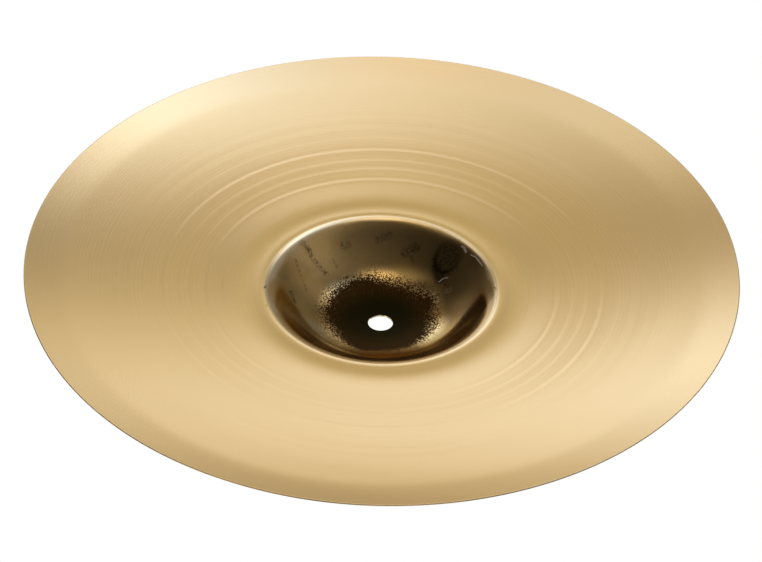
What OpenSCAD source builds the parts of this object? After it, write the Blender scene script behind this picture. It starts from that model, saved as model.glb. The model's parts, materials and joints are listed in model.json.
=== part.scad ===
// Crash cymbal: one sheet of cast and rolled bronze, pressed, lathed and drilled.
// +Z is up as played (bell up). The origin is on the hole's axis, halfway through
// the sheet, so the rim lies at negative Z. Sizes are in millimetres, slopes in degrees.
// The inner face is the lower one. A slope is positive where it falls going outwards.

/* [Plan] */
// Diameter over the rim
outer_d = 355.6; // [330:0.1:410]
// Diameter of the circle where the bell meets the bow
bell_d = 113.5; // [104:0.5:124]
// Diameter of the mounting hole
hole_d = 12.7; // [9:0.1:16]

/* [Bell] */
// Radius of the dome that the crown's inner face follows
dome_r = 122; // [105:1:150]
// Steepest slope of the bell's wall, in degrees
wall_slope = 44.5; // [38:0.5:50]
// Width of the rolled shoulder between bell wall and bow
shoulder_w = 7.5; // [5:0.5:10]
// Slope of the gutter just outside the shoulder, in degrees; below zero it rises going outwards
gutter_slope = -1.8; // [-3:0.1:3]

/* [Bow] */
// Slope of the bow a third of the way out, in degrees
bow_slope_in = 7.0; // [5:0.1:9]
// Slope of the bow two thirds of the way out, in degrees
bow_slope_mid = 10.1; // [7:0.1:12]
// Slope of the bow at the rim, in degrees
bow_slope_rim = 14.3; // [10:0.1:16]
// Width of the edge band that is turned down a little more
edge_band_w = 16; // [8:1:24]
// Extra slope of the edge band, in degrees
edge_band_turn = 1.4; // [0:0.1:2.5]

/* [Thickness] */
// Sheet thickness at the crown
t_crown = 1.30; // [0.9:0.05:2]
// Sheet thickness at the shoulder
t_shoulder = 1.15; // [0.8:0.05:1.8]
// Sheet thickness at the rim
t_rim = 0.75; // [0.5:0.05:1.4]

/* [Hidden] */
$fn = 256;

bronze = [0.80, 0.66, 0.40];
hole_r = hole_d / 2;
hole_margin = 1.5;     // sheet drawn inside the hole's edge, then drilled away
drill_h = 20;
rim_bulge = 0.8;       // rim's half-ellipse: outward half-axis over half the thickness
edge_band_gain = 1.2;  // slope gained across the edge band

// How far the rounded rim reaches past the last point of the inner face
rim_reach = (t_rim / 2) * (sin(bow_slope_rim)
    + sqrt(pow(sin(bow_slope_rim), 2) + pow(rim_bulge * cos(bow_slope_rim), 2)));
edge_r = outer_d / 2 - rim_reach;          // radius of that last point
band_r = edge_r - edge_band_w;             // where the edge band begins
wall_r = bell_d / 2 - shoulder_w * 0.6;    // where the bell's wall ends and the shoulder begins
root_r = wall_r + shoulder_w;              // where the shoulder runs out into the gutter
dome_end = wall_r - 24;                    // where the dome starts to bend into the wall
bow_w = edge_r - root_r;

// Slope at the end of the dome, and a share of the way from it to the wall's slope
dome_slope = asin(dome_end / dome_r);
function bend(share) = dome_slope + share * (wall_slope - dome_slope);

// Inner face beyond the dome: [radius, slope].
// The first and last knots only set the curve's tangents at its two ends.
knots = [
    [dome_end - 8, asin((dome_end - 8) / dome_r)],
    // Dome to wall
    [dome_end, dome_slope],
    [wall_r - 16, bend(0.36)],
    [wall_r - 11, bend(0.70)],
    [wall_r - 6, bend(0.92)],
    [wall_r, wall_slope],
    // Shoulder and gutter
    [root_r, gutter_slope + 7],
    [root_r + 3, gutter_slope],
    [root_r + 10, (gutter_slope + bow_slope_in) / 2 + 0.7],
    [root_r + 17.5, bow_slope_in - 0.3],
    // Bow
    [root_r + 22, bow_slope_in],
    [root_r + bow_w * 0.33, bow_slope_in],
    [root_r + bow_w * 0.66, bow_slope_mid],
    // Edge band
    [band_r - 3.4, bow_slope_rim - edge_band_gain - edge_band_turn],
    [band_r, bow_slope_rim - edge_band_gain],
    [edge_r, bow_slope_rim],
    [edge_r + 20, bow_slope_rim + edge_band_gain]
];

// Index of the knot that starts the interval holding radius r
function knot_at(r, i = 1) =
    (i >= len(knots) - 3 || r < knots[i + 1][0]) ? i : knot_at(r, i + 1);

// Tangent of the slope curve at knot i
function knot_grad(i) =
    (knots[i + 1][1] - knots[i - 1][1]) / (knots[i + 1][0] - knots[i - 1][0]);

// Cubic through knots i and i + 1
function hermite(r, i) =
    let (width = knots[i + 1][0] - knots[i][0], u = (r - knots[i][0]) / width)
    (2 * pow(u, 3) - 3 * u * u + 1) * knots[i][1]
    + (pow(u, 3) - 2 * u * u + u) * width * knot_grad(i)
    + (3 * u * u - 2 * pow(u, 3)) * knots[i + 1][1]
    + (pow(u, 3) - u * u) * width * knot_grad(i + 1);

// Slope of the inner face at radius r
function slope(r) = r <= dome_end ? asin(r / dome_r) : hermite(r, knot_at(r));

// Sheet thickness: even taper from crown to shoulder, then to the rim
function thick(r) = r < root_r
    ? t_crown + (t_shoulder - t_crown) * r / root_r
    : t_shoulder + (t_rim - t_shoulder) * (r - root_r) / bow_w;

// Evenly spaced values from a to b; first = 1 leaves out a
function spaced(a, b, steps, first = 1) =
    [for (i = [first : steps]) a + i * (b - a) / steps];

// Radii at which the section is drawn: close together where the sheet bends
radii = concat(
    [hole_r - hole_margin, hole_r],
    [for (r = [ceil(hole_r) + 1 : 3 : dome_end]) r],
    spaced(dome_end, wall_r - 2, steps = 10),
    spaced(wall_r - 1.5, root_r + 6, steps = 13, first = 0),
    spaced(root_r + 6, edge_r, steps = 30)
);
last = len(radii) - 1;

// Drop of the inner face from radius a to radius b, by Simpson's rule
function fall(a, b) =
    (b - a) * (tan(slope(a)) + 4 * tan(slope((a + b) / 2)) + tan(slope(b))) / 6;

// Heights of the inner face, summed outwards; at the hole's edge it is -t_crown / 2
heights = [for (i = 0, z = -t_crown / 2 + fall(radii[0], hole_r); i <= last;
    z = z - (i < last ? fall(radii[i], radii[i + 1]) : 0), i = i + 1) z];

// Both faces as [radius, height]; the outer one is offset square to the inner
inner = [for (i = [0 : last]) [radii[i], heights[i]]];
outer = [for (i = [0 : last])
    inner[i] + thick(radii[i]) * [sin(slope(radii[i])), cos(slope(radii[i]))]];

// Half-ellipse that rounds the rim between the last inner and outer points
rim_mid = (inner[last] + outer[last]) / 2;
rim_out = [cos(bow_slope_rim), -sin(bow_slope_rim)];
rim_down = [-sin(bow_slope_rim), -cos(bow_slope_rim)];
rim = [for (i = [1 : 7])
    let (angle = 180 * i / 8)
    rim_mid + (t_rim / 2) * (cos(angle) * rim_down + rim_bulge * sin(angle) * rim_out)];

module section() {
    polygon(concat(inner, rim, [for (i = [last : -1 : 0]) outer[i]]));
}

module cymbal() {
    color(bronze)
    difference() {
        rotate_extrude() section();
        cylinder(r = hole_r, h = drill_h, center = true);
    }
}

cymbal();
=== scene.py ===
import json
import math
from functools import reduce

import bpy
import numpy as np
from mathutils import Matrix, Vector


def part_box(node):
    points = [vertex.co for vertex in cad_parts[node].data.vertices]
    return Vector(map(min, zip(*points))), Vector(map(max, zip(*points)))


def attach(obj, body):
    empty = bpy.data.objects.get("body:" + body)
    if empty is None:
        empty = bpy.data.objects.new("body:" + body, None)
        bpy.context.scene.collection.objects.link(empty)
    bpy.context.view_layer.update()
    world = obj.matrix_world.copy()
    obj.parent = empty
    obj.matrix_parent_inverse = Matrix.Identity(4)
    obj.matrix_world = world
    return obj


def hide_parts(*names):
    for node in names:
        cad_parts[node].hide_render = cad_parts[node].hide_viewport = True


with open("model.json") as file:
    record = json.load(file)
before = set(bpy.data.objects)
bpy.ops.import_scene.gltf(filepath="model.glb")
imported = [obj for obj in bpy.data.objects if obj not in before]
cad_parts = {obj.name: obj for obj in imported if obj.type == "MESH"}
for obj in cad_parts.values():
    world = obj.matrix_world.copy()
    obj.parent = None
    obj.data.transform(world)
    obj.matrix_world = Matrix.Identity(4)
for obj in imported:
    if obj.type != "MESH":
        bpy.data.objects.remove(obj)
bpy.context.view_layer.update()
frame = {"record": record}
box_low, box_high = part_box("cymbal")
RIM_Z = float(box_low.z)              # metres

# ---------------------------------------------------------------- section ---
OUTER_R = round((box_high.x - box_low.x) * 500, 1)
HOLE_R = frame["record"]["mounts"][0]["dims"]["r_mm"]
HOLE_DEPTH = 1.301
HOLE_BREAK = 0.12                     # broken edge of the hole
FACE_START = 0.8                      # from the hole's wall to the first full ring of a face
FACE_END = 0.2                        # from the last ring of a face to the rounded rim
DOME_R = 122.0                        # radius of curvature of the crown
WALL_R, WALL_SLOPE = 52.25, 44.5      # steepest part of the bell, degrees
ROOT_R = WALL_R + 7.5                 # where the bell's wall meets the bow
GUTTER = -1.8                         # slope just outside the root: the sheet rises a little
T_CROWN, T_ROOT, T_RIM = 1.30, 1.15, 0.75     # sheet thickness
RIM_SLOPE, EDGE_W, EDGE_TURN = 14.3, 16.0, 1.4
RIM_BULGE = 0.8                       # half-width of the rounded rim over half its thickness
RIM_SIN, RIM_COS = math.sin(math.radians(RIM_SLOPE)), math.cos(math.radians(RIM_SLOPE))
FACE_R = OUTER_R - (T_RIM / 2) * (RIM_SIN + math.hypot(RIM_SIN, RIM_BULGE * RIM_COS))
SPAN = FACE_R - ROOT_R
DOME_END = WALL_R - 24
DOME_SLOPE = math.degrees(math.asin(DOME_END / DOME_R))


def wall_bend(share):
    """Slope a share of the way from the dome's edge to the wall."""
    return DOME_SLOPE + share * (WALL_SLOPE - DOME_SLOPE)


# Inner face: radius, degrees below level going outwards
KNOTS = np.array([
    [DOME_END - 8, math.degrees(math.asin((DOME_END - 8) / DOME_R))],
    [DOME_END, DOME_SLOPE],
    [WALL_R - 16, wall_bend(0.36)], [WALL_R - 11, wall_bend(0.70)],
    [WALL_R - 6, wall_bend(0.92)], [WALL_R, WALL_SLOPE],
    [ROOT_R, GUTTER + 7.0], [ROOT_R + 3, GUTTER], [ROOT_R + 10, (GUTTER + 7.0) / 2 + 0.7],
    [ROOT_R + 17.5, 6.7], [ROOT_R + 22, 7.0],
    [ROOT_R + SPAN * 0.33, 7.0], [ROOT_R + SPAN * 0.66, 10.1],
    [FACE_R - EDGE_W - 3.4, RIM_SLOPE - 1.2 - EDGE_TURN], [FACE_R - EDGE_W, RIM_SLOPE - 1.2],
    [FACE_R, RIM_SLOPE], [FACE_R + 20, RIM_SLOPE + 1.2]])


def slope(radius):
    """Slope of the inner face: an arc over the dome, then a cubic through the knots."""
    at, value = KNOTS.T
    grad = np.zeros(len(KNOTS))
    grad[1:-1] = (value[2:] - value[:-2]) / (at[2:] - at[:-2])
    i = np.clip(np.searchsorted(at, radius, side="right") - 1, 1, len(KNOTS) - 3)
    width = at[i + 1] - at[i]
    t = (radius - at[i]) / width
    cubic = ((2 * t ** 3 - 3 * t * t + 1) * value[i]
             + (t ** 3 - 2 * t * t + t) * width * grad[i]
             + (3 * t * t - 2 * t ** 3) * value[i + 1]
             + (t ** 3 - t * t) * width * grad[i + 1])
    arc = np.degrees(np.arcsin(np.clip(radius / DOME_R, 0, 1)))
    return np.where(radius <= DOME_END, arc, cubic)


# The slope is added up going outwards at closely spaced radii
FINE_R = np.linspace(0, FACE_R, 7113)
fine_tan = np.tan(np.radians(slope(FINE_R)))
FINE_DROP = np.concatenate([[0], np.cumsum((fine_tan[1:] + fine_tan[:-1]) / 2 * np.diff(FINE_R))])


def height(radius):
    """Height of the plain inner face."""
    drop = np.interp(radius, FINE_R, FINE_DROP) - np.interp(HOLE_R, FINE_R, FINE_DROP)
    return -T_CROWN / 2 - drop


def thickness(radius):
    if radius < ROOT_R:
        return T_CROWN + (T_ROOT - T_CROWN) * radius / ROOT_R
    return T_ROOT + (T_RIM - T_ROOT) * (radius - ROOT_R) / SPAN


# Lathe steps, shallow terraces on the bow: radius, width, rise
UNDER_STEPS = [
    (88.0, 1.5, 0.048), (96.0, 1.5, 0.032), (102.2, 1.4, 0.024), (110.1, 1.5, 0.052),
    (119.0, 1.8, 0.012), (127.0, 2.4, 0.014), (134.2, 2.4, 0.012)]
TOP_STEPS = [
    (66.0, 1.2, 0.022), (71.5, 1.3, 0.028), (78.6, 1.5, 0.034), (84.0, 1.2, 0.020),
    (91.2, 1.5, 0.034), (97.0, 1.3, 0.022), (104.4, 1.6, 0.040), (111.0, 1.3, 0.024),
    (118.6, 1.6, 0.034), (126.2, 1.4, 0.024), (133.8, 1.6, 0.036), (141.0, 1.4, 0.022),
    (149.2, 1.7, 0.034), (157.0, 1.4, 0.024), (165.4, 1.7, 0.030)]
# Rings across one lathe step, in step widths from its middle
STEP_RINGS = (-1.75, -1.25, -0.8, -0.42, 0.0, 0.42, 0.8, 1.25, 1.75)

SEGMENTS = 288
ANGLES = np.arange(SEGMENTS) * 2 * math.pi / SEGMENTS


def step_relief(radius, table):
    """Each step drops going outwards, between two low shoulders."""
    relief = 0.0
    for middle, width, rise in table:
        x = (radius - middle) / width
        relief -= rise * x * np.exp(-x * x)
    return relief


def ripple(radius):
    """Hammer and lathe waviness of the bow: a few waves that fade at the bell and rim."""
    rng = np.random.RandomState(11)
    waves = np.zeros(SEGMENTS)
    for _ in range(16):
        count, twist = rng.randint(3, 15), rng.uniform(1.0, 5.0)
        waves += rng.uniform(0.4, 1.0) / count * np.cos(
            count * ANGLES + twist * radius / 18.0 + rng.uniform(0, 6.283))
    fade = np.clip((radius - 66) / 25, 0, 1) * np.clip((177 - radius) / 8, 0, 1)
    return 0.020 * waves * fade


def ring_radii(table, bow_count):
    """Rings close together where the sheet bends and across each lathe step."""
    radii = list(np.arange(HOLE_R + 2.0, WALL_R - 2, 2.4))
    radii += list(np.arange(WALL_R - 2, ROOT_R + 5, 0.62))
    radii += list(np.linspace(ROOT_R + 5.2, FACE_R - 0.8, bow_count))
    for middle, width, _ in table:
        radii = [radius for radius in radii if abs(radius - middle) > width * 2.1]
        radii += [middle + width * offset for offset in STEP_RINGS]
    return sorted(radii)


# ------------------------------------------------------------------ sheet ---
# V along each face at the three radii below; between them it runs straight
UV_HOLE_R, UV_MID_R, UV_RIM_R = 6, 64, 178
UNDER_V = (0.012, 0.40, 0.70)
TOP_V = (0.982, 0.87, 0.72)
# Broken edges of the hole: distance out from its wall, height off that face, V
LOWER_EDGE = [(0, HOLE_BREAK, 0.004), (0.02, HOLE_BREAK * 0.45, 0.006),
              (HOLE_BREAK * 0.45, 0.012, 0.009)]
UPPER_EDGE = [(HOLE_BREAK, -0.004, 0.984), (HOLE_BREAK * 0.45, -0.018, 0.986),
              (0.02, -HOLE_BREAK * 0.5, 0.988), (0, -HOLE_BREAK, 0.990)]
UNDER, OVER = 0, 1                    # values of the sheet_side attribute
RIM_STEPS = 10


def face_v(radius, at_hole, at_mid, at_rim):
    if radius < UV_MID_R:
        return at_hole + (at_mid - at_hole) * (radius - UV_HOLE_R) / (UV_MID_R - UV_HOLE_R)
    return at_mid + (at_rim - at_mid) * (radius - UV_MID_R) / (UV_RIM_R - UV_MID_R)


def sheet_rings():
    """Closed section from the hole out underneath, round the rim and back: radius, z, V, side."""
    lower = float(height(HOLE_R))
    upper = lower + HOLE_DEPTH
    rings = [(HOLE_R + out, lower + lift, v, UNDER) for out, lift, v in LOWER_EDGE]
    for radius in [HOLE_R + HOLE_BREAK, HOLE_R + FACE_START, *ring_radii(UNDER_STEPS, 46),
                   FACE_R - FACE_END]:
        z = height(radius) + step_relief(radius, UNDER_STEPS) + ripple(radius)
        rings.append((radius, z, face_v(radius, *UNDER_V), UNDER))

    rim_x = FACE_R + T_RIM / 2 * RIM_SIN
    rim_z = float(height(FACE_R)) + T_RIM / 2 * RIM_COS
    for i in range(RIM_STEPS + 1):
        turn = math.pi * i / RIM_STEPS
        across, along = math.cos(turn), RIM_BULGE * math.sin(turn)
        rings.append((rim_x + (T_RIM / 2) * (-across * RIM_SIN + along * RIM_COS),
                      rim_z + (T_RIM / 2) * (-across * RIM_COS - along * RIM_SIN),
                      0.702 + 0.016 * i / RIM_STEPS, UNDER if i < RIM_STEPS / 2 else OVER))

    for radius in [FACE_R - FACE_END, *ring_radii(TOP_STEPS, 40)[::-1], HOLE_R + FACE_START]:
        tilt, thick = math.radians(float(slope(radius))), thickness(radius)
        z = (height(radius) + thick * math.cos(tilt) + step_relief(radius, TOP_STEPS)
             + ripple(radius))
        rings.append((radius + thick * math.sin(tilt), z, face_v(radius, *TOP_V), OVER))
    rings += [(HOLE_R + out, upper + lift, v, OVER) for out, lift, v in UPPER_EDGE]
    # Middle of the hole's wall; the next ring is the first one
    rings.append((HOLE_R, (lower + upper) / 2, 0.996, OVER))
    return rings


def build_sheet():
    rings = sheet_rings()
    count = len(rings)
    points = np.empty((count, SEGMENTS, 3))
    for i, (radius, z, _, _) in enumerate(rings):
        points[i, :, 0] = radius * np.cos(ANGLES)
        points[i, :, 1] = radius * np.sin(ANGLES)
        points[i, :, 2] = z
    points = points.reshape(-1, 3) / 1000.0

    # Quads wound so that the inner face looks down
    ring, spoke = np.meshgrid(np.arange(count), np.arange(SEGMENTS), indexing="ij")
    next_ring, next_spoke = (ring + 1) % count, (spoke + 1) % SEGMENTS
    quads = np.stack([ring * SEGMENTS + next_spoke, next_ring * SEGMENTS + next_spoke,
                      next_ring * SEGMENTS + spoke, ring * SEGMENTS + spoke], -1).reshape(-1, 4)
    mesh = bpy.data.meshes.new("cymbal_sheet")
    mesh.vertices.add(len(points))
    mesh.vertices.foreach_set("co", points.astype(np.float32).ravel())
    mesh.loops.add(quads.size)
    mesh.loops.foreach_set("vertex_index", quads.astype(np.int32).ravel())
    mesh.polygons.add(len(quads))
    mesh.polygons.foreach_set("loop_start", np.arange(0, quads.size, 4, dtype=np.int32))
    mesh.polygons.foreach_set("loop_total", np.full(len(quads), 4, np.int32))
    mesh.update(calc_edges=True)
    mesh.validate()
    mesh.polygons.foreach_set("use_smooth", np.ones(len(mesh.polygons), bool))

    # UV: round the cymbal along U, along the section from the hole along V
    uv_map = mesh.uv_layers.new(name="OFBake")
    ring_v = np.array([v for _, _, v, _ in rings])
    u_here, u_next = spoke / SEGMENTS, (spoke + 1) / SEGMENTS
    v_here = ring_v[ring]
    v_next = np.where(ring == count - 1, 1.0, ring_v[next_ring])
    corner_u = np.stack([u_next, u_next, u_here, u_here], -1)
    corner_v = np.stack([v_here, v_next, v_next, v_here], -1)
    uv_map.data.foreach_set(
        "uv", np.stack([corner_u, corner_v], -1).astype(np.float32).ravel())
    side = mesh.attributes.new("sheet_side", "FLOAT", "POINT")
    sides = np.array([side_value for *_, side_value in rings], np.float32)
    side.data.foreach_set("value", np.repeat(sides, SEGMENTS))
    sheet = bpy.data.objects.new("bronze_sheet", mesh)
    bpy.context.scene.collection.objects.link(sheet)
    return sheet


sheet = build_sheet()
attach(sheet, "root")
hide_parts("cymbal")


# ----------------------------------------------------------- node helpers ---
class Nodes:
    """Writes the node tree of a material or world as calls."""

    def __init__(self, owner):
        owner.use_nodes = True
        self.tree = owner.node_tree
        self.tree.nodes.clear()

    def new(self, kind, **values):
        node = self.tree.nodes.new(kind)
        for name, value in values.items():
            setattr(node, name, value)
        return node

    def put(self, socket, value):
        """Link a socket, or set a plain value."""
        if isinstance(value, bpy.types.NodeSocket):
            self.tree.links.new(value, socket)
        else:
            socket.default_value = value

    def fill(self, node, values):
        for socket, value in zip(node.inputs, values):
            self.put(socket, value)
        return node

    def math(self, op, *values, clamp=False):
        node = self.new("ShaderNodeMath", operation=op, use_clamp=clamp)
        return self.fill(node, values).outputs[0]

    def add(self, *values):
        return reduce(lambda left, right: self.math("ADD", left, right), values)

    def mul(self, *values):
        return reduce(lambda left, right: self.math("MULTIPLY", left, right), values)

    def highest(self, *values):
        return reduce(lambda left, right: self.math("MAXIMUM", left, right), values)

    def sub(self, value, less):
        return self.math("SUBTRACT", value, less)

    def vec(self, op, *values, out="Vector"):
        node = self.new("ShaderNodeVectorMath", operation=op)
        return self.fill(node, values).outputs[out]

    def scaled(self, vector, factor):
        node = self.fill(self.new("ShaderNodeVectorMath", operation="SCALE"), [vector])
        self.put(node.inputs["Scale"], factor)
        return node.outputs["Vector"]

    def combine(self, *values):
        return self.fill(self.new("ShaderNodeCombineXYZ"), values).outputs[0]

    def separate(self, vector):
        return self.fill(self.new("ShaderNodeSeparateXYZ"), [vector]).outputs

    def ramp(self, value, start, end, low=0.0, high=1.0):
        """Smooth change from low at start to high at end; start may be the larger."""
        node = self.new("ShaderNodeMapRange", interpolation_type="SMOOTHSTEP")
        return self.fill(node, (value, start, end, low, high)).outputs[0]

    def mix(self, amount, base, top):
        """Mix of two colours; a plain colour is linear RGB."""
        node = self.new("ShaderNodeMix", data_type="RGBA", blend_type="MIX")
        self.put(node.inputs[0], amount)
        for socket, colour in ((node.inputs[6], base), (node.inputs[7], top)):
            self.put(socket, (*colour, 1) if isinstance(colour, tuple) else colour)
        return node.outputs[2]

    def noise(self, position, scale, detail=2.0, roughness=0.5, dims="3D"):
        node = self.new("ShaderNodeTexNoise", noise_dimensions=dims)
        self.put(node.inputs["W" if dims == "1D" else "Vector"], position)
        self.put(node.inputs["Scale"], scale)
        self.put(node.inputs["Detail"], detail)
        self.put(node.inputs["Roughness"], roughness)
        return node.outputs[0]

    def sway(self, noise, amount):
        """Noise centred on zero, times an amount."""
        return self.mul(self.sub(noise, 0.5), amount)

    def bell(self, value, centre, width):
        """exp(-((value - centre) / width)^2)"""
        off = self.math("DIVIDE", self.sub(value, centre), width)
        return self.math("EXPONENT", self.mul(off, off, -1.0))


# ----------------------------------------------------------------- bronze ---
material = bpy.data.materials.new("aged_bronze")
bronze = Nodes(material)
new, put, vec = bronze.new, bronze.put, bronze.vec
add, sub, mul, highest = bronze.add, bronze.sub, bronze.mul, bronze.highest
ramp, mix, noise, sway, bell = bronze.ramp, bronze.mix, bronze.noise, bronze.sway, bronze.bell

position = bronze.scaled(new("ShaderNodeTexCoord").outputs["Object"], 1000.0)   # mm
east, north, _ = bronze.separate(position)            # along +X and +Y
flat = bronze.combine(east, north)
radius = vec("LENGTH", flat, out="Value")
side = new("ShaderNodeAttribute", attribute_name="sheet_side").outputs["Fac"]
over = ramp(side, start=0.3, end=0.7)
under = sub(1.0, over)
# Plan with y turned over: the sheet as seen from below, -Y upwards. Places are given in it.
plan = bronze.combine(east, mul(north, -1.0))


def from_point(x, y, squash=1.0):
    """Distance in plan from a point, with y stretched by squash."""
    away = vec("SUBTRACT", plan, (x, y, 0.0))
    if squash != 1.0:
        away = vec("MULTIPLY", away, (1.0, squash, 1.0))
    return vec("LENGTH", away, out="Value")


def spot(x, y, outer, inner, squash=1.0, high=1.0):
    """Soft round spot, full inside the inner radius and gone at the outer."""
    return ramp(from_point(x, y, squash), outer, inner, high=high)


def stroke(x0, y0, x1, y1, outer, inner):
    """Soft straight stroke between two points in plan."""
    away = vec("SUBTRACT", plan, (x0, y0, 0.0))
    run = Vector((x1 - x0, y1 - y0, 0.0))
    along = bronze.math("DIVIDE", vec("DOT_PRODUCT", away, tuple(run), out="Value"),
                        run.length_squared, clamp=True)
    gap = vec("SUBTRACT", away, bronze.scaled(tuple(run), along))
    return ramp(vec("LENGTH", gap, out="Value"), outer, inner)


# Noises shared by the whole surface, from coarse to fine
big = noise(position, scale=0.035, detail=3.0, roughness=0.55)
fine = noise(position, scale=0.95, detail=3.0, roughness=0.68)
grain = noise(position, scale=2.6, roughness=0.65)

# Cup: the unlathed inside of the bell, under a glossy dark patina with a wandering edge
cup_edge = add(from_point(1.3, 1.5), mul(spot(53.0, -27.0, outer=27.0, inner=8.0), 5.5),
               sway(noise(flat, scale=0.06), 2.4))
cup_edge = add(cup_edge, spot(56.0, 17.0, outer=12.0, inner=3.0, high=1.6))
cup_edge = sub(cup_edge, spot(-56.0, -5.0, outer=15.0, inner=5.0, high=2.6))
cup = mul(under, ramp(cup_edge, start=56.5, end=53.9))
bow = sub(1.0, cup)
inside = mul(under, ramp(radius, start=61.5, end=59.0))

# Bare bronze with turned lines, paler inside the root, with a thin dark line round it
line_at = add(radius, mul(noise(flat, scale=0.02, detail=1.0), 1.5))
thin_lines = noise(line_at, scale=1.9, detail=3.0, roughness=0.62, dims="1D")
tint = mix(ramp(thin_lines, start=0.3, end=0.7), (0.84, 0.64, 0.362), (0.88, 0.68, 0.398))
tint = mix(mul(under, ramp(radius, start=61.0, end=58.6)), tint, (0.93, 0.75, 0.47))
tint = mix(mul(under, bell(radius, centre=58.1, width=0.30), 0.32), tint, (0.42, 0.29, 0.13))

# Top side: broader turned bands and a faint tarnish
broad_lines = noise(line_at, scale=0.55, roughness=0.6, dims="1D")
played = mul(over, ramp(radius, start=56.0, end=64.0))
tint = mix(mul(played, ramp(broad_lines, start=0.46, end=0.62), 0.42), tint, (0.66, 0.465, 0.235))
tint = mix(mul(over, ramp(big, start=0.42, end=0.68), 0.22), tint, (0.62, 0.44, 0.235))

# Patina: olive brown, with soft patches and clouds; made lighter on the -X side, and a little
# towards +X, as painted light for the brighter reflections on those walls
PATCHES = [                           # x, y, outer and inner radius, strength, colour
    (39.0, 3.0, 15.0, 4.0, 0.80, (0.640, 0.430, 0.185)),
    (48.0, -22.0, 30.0, 10.0, 0.85, (0.860, 0.690, 0.430)),
    (-8.0, 45.0, 21.0, 6.0, 0.50, (0.270, 0.195, 0.100)),
    (-41.0, 2.0, 16.0, 5.0, 0.50, (0.330, 0.240, 0.110)),
    (-42.0, -22.0, 20.0, 8.0, 0.60, (0.700, 0.650, 0.450))]
# Painted light: the patina colour rises towards -X and a little towards +X
patina_and_painted_light = mix(ramp(east, start=-36.0, end=6.0), (0.760, 0.580, 0.320), (0.345, 0.245, 0.108))
patina_and_painted_light = mix(ramp(east, start=18.0, end=46.0), patina_and_painted_light, (0.450, 0.300, 0.128))
for x, y, outer, inner, strength, colour in PATCHES:
    patina_and_painted_light = mix(mul(spot(x, y, outer, inner), strength), patina_and_painted_light, colour)
patina_and_painted_light = mix(mul(ramp(big, start=0.42, end=0.62), 0.30), patina_and_painted_light, (0.230, 0.160, 0.075))
patina_and_painted_light = mix(mul(ramp(fine, start=0.50, end=0.72), 0.16), patina_and_painted_light, (0.150, 0.100, 0.045))
# Painted shade: darker, browner colour on the +Y wall, standing in for the dark reflection that
# wall shows
painted_shade_near_wall = mul(spot(2.0, -42.0, outer=36.0, inner=14.0, squash=1.3), 0.90)
patina_and_painted_light = mix(painted_shade_near_wall, patina_and_painted_light, (0.125, 0.047, 0.006))

# Burnt patch round the hole; its edge is ragged with noise and with small crusty cells
reach = from_point(-1.0, 2.3)
worn = add(reach, sway(big, 12.0))
worn = sub(worn, spot(-14.0, 23.5, outer=13.0, inner=3.0, high=4.0))
worn = sub(worn, spot(26.0, 15.0, outer=10.0, inner=3.0, high=3.2))
soft_side = ramp(north, start=8.0, end=24.0, low=1.0, high=0.35)     # less ragged towards +Y
cells = new("ShaderNodeTexVoronoi", feature="F1")
put(cells.inputs["Vector"], position)
cells.inputs["Scale"].default_value = 1.75
cell_edge, cell_speck, _ = bronze.separate(cells.outputs["Color"])
ragged = add(worn, mul(sway(fine, 16.0), soft_side), mul(sway(grain, 9.0), soft_side),
             mul(sway(cell_edge, 5.5), soft_side))
burnt = ramp(ragged, start=29.8, end=26.4)

# Just outside it: paler, thinner patina where highlights fall, partly painted highlight; a brown
# patch, a halo and specks
# Partly painted highlight: paler patina at the two places where the highlights fall
thin_patina_and_highlight = highest(spot(-2.5, 31.5, outer=14.5, inner=3.0, squash=2.0),
               spot(29.0, -13.0, outer=17.0, inner=6.0))
browned = spot(19.0, 20.5, outer=12.0, inner=4.0, squash=1.1)
pale_spot = mul(spot(-22.0, 24.0, outer=12.0, inner=4.0), 0.45)
halo = mul(ramp(worn, start=31.0, end=24.0), 0.45)
specks = mul(ramp(cell_speck, start=0.70, end=0.76), bell(worn, centre=29.5, width=3.2))
cup_stains_and_painted_light = mix(mul(thin_patina_and_highlight, 0.85), patina_and_painted_light, (0.800, 0.590, 0.270))
cup_stains_and_painted_light = mix(mul(browned, 0.75), cup_stains_and_painted_light, (0.085, 0.050, 0.020))
cup_stains_and_painted_light = mix(pale_spot, cup_stains_and_painted_light, (0.400, 0.285, 0.120))
cup_stains_and_painted_light = mix(halo, cup_stains_and_painted_light, (0.180, 0.095, 0.035))
# Warmer on the -X wall
warm_wall = mul(ramp(east, start=-22.0, end=-29.0), ramp(north, start=11.0, end=3.0),
                ramp(north, start=-31.0, end=-19.0))
cup_stains_and_painted_light = mix(warm_wall, cup_stains_and_painted_light, vec("MULTIPLY", cup_stains_and_painted_light, (1.0, 0.90, 0.66)))
cup_stains_and_painted_light = mix(mul(specks, 0.85), cup_stains_and_painted_light, (0.085, 0.022, 0.008))

# Char of the burnt patch, browner and flecked away from the hole
char = mix(ramp(add(reach, mul(fine, 8.0)), start=16.0, end=30.0),
           (0.0068, 0.0060, 0.0008), (0.0210, 0.0095, 0.0014))
char_flecks = mul(ramp(grain, start=0.56, end=0.66), ramp(reach, start=12.0, end=24.0), 0.7)
char = mix(char_flecks, char, (0.085, 0.036, 0.014))
cup_stains_and_painted_light = mix(burnt, cup_stains_and_painted_light, char)

# Painted reflection on the +Y wall: an orange-brown line standing in for the rim's bright band
# mirrored there
painted_reflection_fringe = mul(bell(add(radius, mul(big, 2.0)), centre=47.4, width=1.1),
           ramp(north, start=14.0, end=34.0), 0.60)
cup_stains_and_painted_light = mix(painted_reflection_fringe, cup_stains_and_painted_light, (0.74, 0.40, 0.19))

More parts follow.
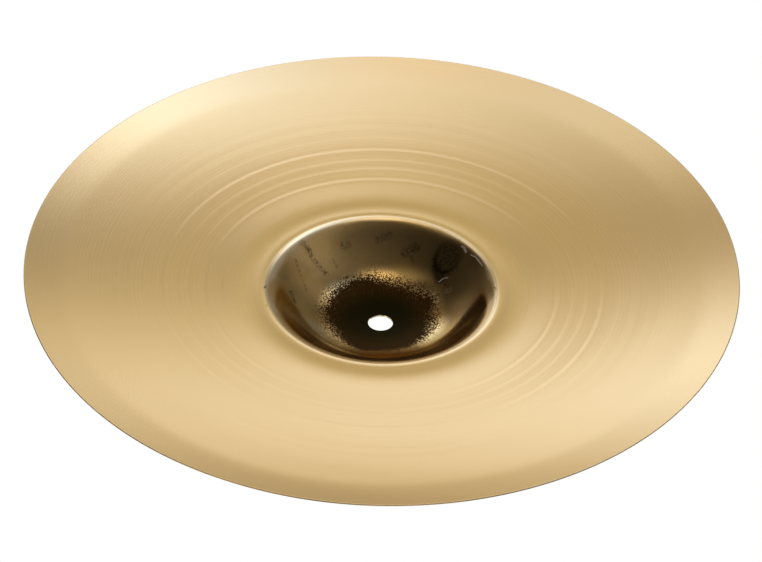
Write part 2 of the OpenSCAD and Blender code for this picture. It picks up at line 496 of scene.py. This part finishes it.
MARKS = [                             # stray dark strokes: x0, y0, x1, y1, width, strength
    (-41.0, 36.0, -38.0, 34.5, 2.3, 0.85), (-37.0, 33.0, -31.0, 29.5, 1.5, 0.60),
    (-29.5, 28.6, -28.6, 28.0, 1.6, 0.80), (-45.6, 6.5, -43.6, 1.5, 1.1, 0.95),
    (-20.5, 43.5, -18.0, 44.5, 1.7, 0.60), (-3.0, 48.5, 3.5, 50.5, 1.6, 0.50),
    (11.5, 43.0, 17.5, 44.5, 2.3, 0.80), (15.0, 40.5, 16.0, 38.5, 1.3, 0.55),
    (-44.0, 26.0, -38.0, 14.0, 1.0, 0.45), (-25.0, 36.0, -23.0, 33.0, 1.0, 0.35),
    (30.0, 28.5, 31.5, 33.0, 2.2, 0.80), (32.5, 24.0, 33.5, 20.0, 1.1, 0.80),
    (-58.6, -2.6, -58.2, -1.2, 0.7, 1.0), (-57.2, -17.2, -56.8, -16.4, 0.5, 0.9),
    (56.8, 3.6, 57.6, 2.0, 0.7, 0.9), (54.8, 2.4, 55.6, 1.4, 0.6, 0.7)]
GLINT_STROKES = [                         # painted glints, thin bright strokes standing in for small highlights: x0, y0, x1, y1, width
    (40.4, 37.4, 41.6, 36.4, 0.42), (41.6, 36.4, 42.6, 33.6, 0.50),
    (45.2, 31.0, 47.6, 28.6, 0.30), (47.6, 28.6, 50.2, 23.4, 0.36),
    (50.2, 23.4, 50.8, 21.8, 0.28), (29.4, 25.4, 31.4, 26.3, 0.42),
    (31.4, 26.3, 33.6, 26.0, 0.34)]
marks = highest(*[mul(stroke(*ends, outer=width * 1.35, inner=width * 0.35), strength)
                  for *ends, width, strength in MARKS])
marks = mul(marks, ramp(fine, start=0.36, end=0.66))
# Dark ring mark, stronger towards the hole, with a broken fill and a tail
dark_ring_at = add(from_point(33.5, 35.5), sway(fine, 5.5))
dark_ring_low = ramp(vec("DOT_PRODUCT", plan, (0.75, 0.66, 0.0), out="Value"), start=55.0, end=42.0)
dark_ring_band = mul(bell(dark_ring_at, centre=6.4, width=1.9), add(0.45, mul(dark_ring_low, 0.55)))
dark_ring_fill = mul(ramp(dark_ring_at, start=8.4, end=5.0),
                 ramp(fine, start=0.38, end=0.62, low=0.28, high=0.85))
dark_ring_tail = mul(stroke(28.0, 33.0, 30.0, 26.5, outer=4.2, inner=1.2), 0.85)
marks = highest(marks, highest(dark_ring_band, dark_ring_fill, dark_ring_tail))
cup_stains_and_painted_light = mix(marks, cup_stains_and_painted_light, (0.022, 0.016, 0.007))
# Painted highlights: thin glint strokes
painted_glint = highest(*[stroke(*ends, outer=width * 1.25, inner=width * 0.5)
                    for *ends, width in GLINT_STROKES])
# Painted highlight: a small pale glint spot
painted_glint_spot = mul(spot(34.0, 18.5, outer=3.4, inner=1.0, squash=1.5),
             ramp(fine, start=0.36, end=0.60), 0.8)
cup_stains_and_painted_light = mix(painted_glint_spot, cup_stains_and_painted_light, (0.70, 0.56, 0.34))
# Painted highlights: near-white colour on the glint strokes
cup_stains_and_painted_light = mix(painted_glint, cup_stains_and_painted_light, (1.0, 0.97, 0.90))

colour = mix(cup, tint, cup_stains_and_painted_light)
colour = mix(mul(marks, sub(inside, cup)), colour, (0.060, 0.035, 0.016))

# Roughness: satin bow, glossy cup, duller where burnt, marked or on the painted glints
bow_rough = add(0.235, mul(over, 0.055), sway(thin_lines, 0.05))
cup_rough = add(0.135, mul(highest(burnt, marks), 0.25), sway(fine, 0.06), mul(painted_glint, 0.75))
# Relief of the turned lines, in bump distances of 1 mm
thin_depth = bronze.math("MULTIPLY_ADD", over, 0.018, 0.010)
relief = add(mul(thin_lines, thin_depth), mul(broad_lines, over, 0.075))
bump = new("ShaderNodeBump")
bump.inputs["Strength"].default_value = 1.0
bump.inputs["Distance"].default_value = 0.001
put(bump.inputs["Height"], mul(relief, bow))

surface = new("ShaderNodeBsdfPrincipled", distribution="GGX")
for name, value in {
        "Base Color": colour, "Metallic": 1.0, "Specular Tint": (0.95, 0.85, 0.70, 1),
        "Roughness": add(mul(bow_rough, bow), mul(cup_rough, cup)),
        "Anisotropic": mul(over, 0.82), "Tangent": vec("NORMALIZE", flat),
        "Normal": bump.outputs[0]}.items():
    put(surface.inputs[name], value)
put(new("ShaderNodeOutputMaterial").inputs[0], surface.outputs[0])
sheet.data.materials.append(material)

# ------------------------------------------------------------------ stage ---
# Two plain pale floors that only the camera sees, each from one side: one under the rim
# seen from above, and one at the crown seen from below. Metres.
FLOOR_HALF = 6.0
WHITE = (1, 1, 1, 1)


def contact_shade(nodes):
    """White, with a tight and a wide soft shade round the rim."""
    place = nodes.new("ShaderNodeNewGeometry").outputs["Position"]
    away = nodes.vec("LENGTH", nodes.vec("MULTIPLY", place, (1.0, 1.0, 0.0)), out="Value")
    away = nodes.highest(nodes.sub(away, OUTER_R / 1000), 0.0)
    shade = nodes.add(*[
        nodes.mul(nodes.math("EXPONENT", nodes.math("DIVIDE", away, -reach)), strength)
        for reach, strength in ((0.012, 0.45), (0.060, 0.12))])
    return nodes.mix(shade, (1, 1, 1), (0.30, 0.27, 0.24))


def floor(name, z, faces_up):
    mesh = bpy.data.meshes.new(name)
    half = FLOOR_HALF
    corners = [(-half, -half, z), (half, -half, z), (half, half, z), (-half, half, z)]
    mesh.from_pydata(corners, [], [(0, 1, 2, 3) if faces_up else (3, 2, 1, 0)])
    plane = bpy.data.objects.new(name, mesh)
    bpy.context.scene.collection.objects.link(plane)
    for ray in ("diffuse", "glossy", "transmission", "volume_scatter", "shadow"):
        setattr(plane, "visible_" + ray, False)
    paint = bpy.data.materials.new(name)
    nodes = Nodes(paint)
    glow = nodes.new("ShaderNodeEmission")
    nodes.fill(glow, (contact_shade(nodes) if faces_up else WHITE, 1.0))
    clear = nodes.new("ShaderNodeBsdfTransparent")
    back = nodes.new("ShaderNodeNewGeometry").outputs["Backfacing"]
    blend = nodes.fill(nodes.new("ShaderNodeMixShader"),
                       (back, glow.outputs[0], clear.outputs[0]))
    nodes.fill(nodes.new("ShaderNodeOutputMaterial"), [blend.outputs[0]])
    mesh.materials.append(paint)


floor("floor_under_rim", RIM_Z - 0.0004, faces_up=True)
floor("floor_at_crown", float(box_high.z) + 0.0006, faces_up=False)

# ------------------------------------------------------------------ light ---
# A studio surround made of smooth lobes. Broad ones: direction, sharpness, colour
SOFT = [
    ((-0.018, -0.270, -0.962), 70.0, (1.20, 0.98, 0.66)),
    ((-0.24, -0.20, -0.95), 34.0, (0.45, 0.39, 0.28)),
    ((0.25, 0.05, -0.97), 5.0, (0.20, 0.165, 0.11)),
    ((0.90, 0.10, -0.42), 7.0, (0.20, 0.165, 0.10)),
    ((0.542, -0.542, -0.643), 7.0, (0.105, 0.108, 0.140)),
    ((-0.526, -0.779, -0.342), 22.0, (0.190, 0.170, 0.150)),
    ((0.470, -0.850, -0.240), 24.0, (0.130, 0.120, 0.100)),
    ((-0.340, -0.935, -0.100), 45.0, (0.720, 0.620, 0.480)),
    ((0.15, 0.62, -0.77), 5.0, (0.055, 0.052, 0.050)),
    ((0.0, 0.0, 1.0), 1.6, (0.36, 0.35, 0.33)),
    ((0.58, -0.52, 0.62), 40.0, (3.00, 2.94, 2.80)),
    ((-0.60, 0.50, 0.62), 40.0, (2.50, 2.45, 2.35)),
    ((-0.90, -0.10, 0.42), 34.0, (1.70, 1.70, 1.68)),
    ((0.14, 0.90, 0.40), 34.0, (1.70, 1.66, 1.60))]
# Tight ones that the bow mirrors, in rows by direction z: direction x, y, then red, green, blue
TIGHT_SHARPNESS = 200
TIGHT = {
    -0.319: [
        (-0.283, -0.904, 0.105, 0.116, 0.133), (-0.172, -0.932, 0.139, 0.107, 0.039),
        (-0.057, -0.946, 0.304, 0.191, 0.000), (0.057, -0.946, 0.213, 0.150, 0.000),
        (0.172, -0.932, 0.078, 0.057, 0.000)],
    -0.411: [
        (-0.284, -0.866, 0.319, 0.363, 0.432), (-0.173, -0.895, 0.474, 0.606, 0.805),
        (-0.058, -0.910, 0.421, 0.439, 0.474), (0.058, -0.910, 0.542, 0.569, 0.636),
        (0.173, -0.895, 0.279, 0.281, 0.269)],
    -0.499: [
        (-0.283, -0.819, 0.591, 0.613, 0.652), (-0.172, -0.849, 0.816, 0.904, 1.036),
        (-0.058, -0.865, 0.377, 0.405, 0.495), (0.058, -0.865, 0.411, 0.447, 0.529),
        (0.172, -0.849, 0.346, 0.261, 0.050)],
    -0.582: [
        (-0.278, -0.764, 0.154, 0.097, 0.000), (-0.169, -0.795, 0.140, 0.077, 0.000),
        (-0.057, -0.811, 0.213, 0.140, 0.000), (0.057, -0.811, 0.270, 0.205, 0.000)],
    -0.659: [
        (-0.270, -0.702, 0.070, 0.039, 0.000), (-0.055, -0.750, 0.061, 0.057, 0.000)],
    -0.730: [
        (-0.323, -0.602, 0.226, 0.209, 0.158), (-0.220, -0.647, 0.108, 0.073, 0.000),
        (0.000, -0.683, 0.278, 0.211, 0.000), (0.220, -0.647, 0.335, 0.209, 0.000),
        (0.323, -0.602, 0.517, 0.544, 0.576)],
    -0.794: [
        (-0.369, -0.483, 0.108, 0.111, 0.112), (-0.273, -0.543, 0.845, 0.870, 0.914),
        (-0.168, -0.585, 0.305, 0.264, 0.184), (-0.057, -0.605, 0.062, 0.057, 0.020),
        (0.057, -0.605, 0.290, 0.163, 0.000), (0.168, -0.585, 0.619, 0.699, 0.813),
        (0.273, -0.543, 1.265, 1.483, 1.840), (0.369, -0.483, 0.154, 0.190, 0.246)],
    -0.850: [
        (-0.219, -0.479, 0.418, 0.457, 0.526), (-0.112, -0.515, 0.187, 0.246, 0.341),
        (0.000, -0.527, 0.711, 0.757, 0.839), (0.112, -0.515, 0.306, 0.447, 0.679),
        (0.219, -0.479, 0.630, 0.871, 1.266), (0.317, -0.421, 0.127, 0.182, 0.268)],
    -0.898: [
        (0.056, -0.437, 0.000, 0.008, 0.047), (0.164, -0.409, 0.150, 0.253, 0.414),
        (0.261, -0.355, 0.049, 0.087, 0.145)]}
AMBIENT = (0.02, 0.016, 0.008)


def build_world():
    """The lobes light the scene; the camera sees white."""
    world = bpy.data.worlds.new("studio")
    bpy.context.scene.world = world
    nodes = Nodes(world)
    toward = nodes.new("ShaderNodeTexCoord").outputs["Generated"]
    tight = [((x, y, z), TIGHT_SHARPNESS, tuple(rgb))
             for z, row in TIGHT.items() for x, y, *rgb in row]
    light = AMBIENT
    for direction, sharpness, rgb in SOFT + tight:
        axis = tuple(Vector(direction).normalized())
        facing = nodes.vec("DOT_PRODUCT", toward, axis, out="Value")
        power = nodes.math("MULTIPLY_ADD", facing, sharpness, -sharpness)
        light = nodes.vec("MULTIPLY_ADD", rgb, nodes.math("EXPONENT", power), light)
    surround, white = [nodes.new("ShaderNodeBackground") for _ in range(2)]
    nodes.put(surround.inputs[0], light)
    nodes.put(white.inputs[0], WHITE)
    is_camera = nodes.new("ShaderNodeLightPath").outputs["Is Camera Ray"]
    blend = nodes.fill(nodes.new("ShaderNodeMixShader"),
                       (is_camera, surround.outputs[0], white.outputs[0]))
    nodes.fill(nodes.new("ShaderNodeOutputWorld"), [blend.outputs[0]])


build_world()

# ----------------------------------------------------------------- camera ---
DISTANCE = 1.500                      # metres, from the centre of the rim plane
BELOW, ROLL = math.radians(38.572), math.radians(1.731)
AIM = (-0.000355, 0.016537, RIM_Z)    # metres
LENS, SENSOR = 142.21417, 36.0


def build_camera():
    """From below on the +Y side, held with -Z upwards."""
    eye = Vector((0, DISTANCE * math.cos(BELOW), RIM_Z - DISTANCE * math.sin(BELOW)))
    forward = (Vector(AIM) - eye).normalized()
    right = forward.cross(Vector((0, 0, -1))).normalized()
    up = right.cross(forward)
    cosine, sine = math.cos(ROLL), math.sin(ROLL)
    right, up = right * cosine + up * sine, up * cosine - right * sine
    lens = bpy.data.cameras.new("camera")
    lens.sensor_fit = "HORIZONTAL"
    lens.sensor_width = SENSOR
    lens.lens = LENS
    lens.clip_start, lens.clip_end = 0.01, 50
    camera = bpy.data.objects.new("camera", lens)
    bpy.context.scene.collection.objects.link(camera)
    rows = [(right[i], up[i], -forward[i], eye[i]) for i in range(3)]
    camera.matrix_world = Matrix((*rows, (0, 0, 0, 1)))
    bpy.context.scene.camera = camera


build_camera()
scene = bpy.context.scene
scene.view_settings.view_transform = "Standard"
scene.view_settings.look = "None"
scene.cycles.max_bounces = 8
scene.cycles.glossy_bounces = 6
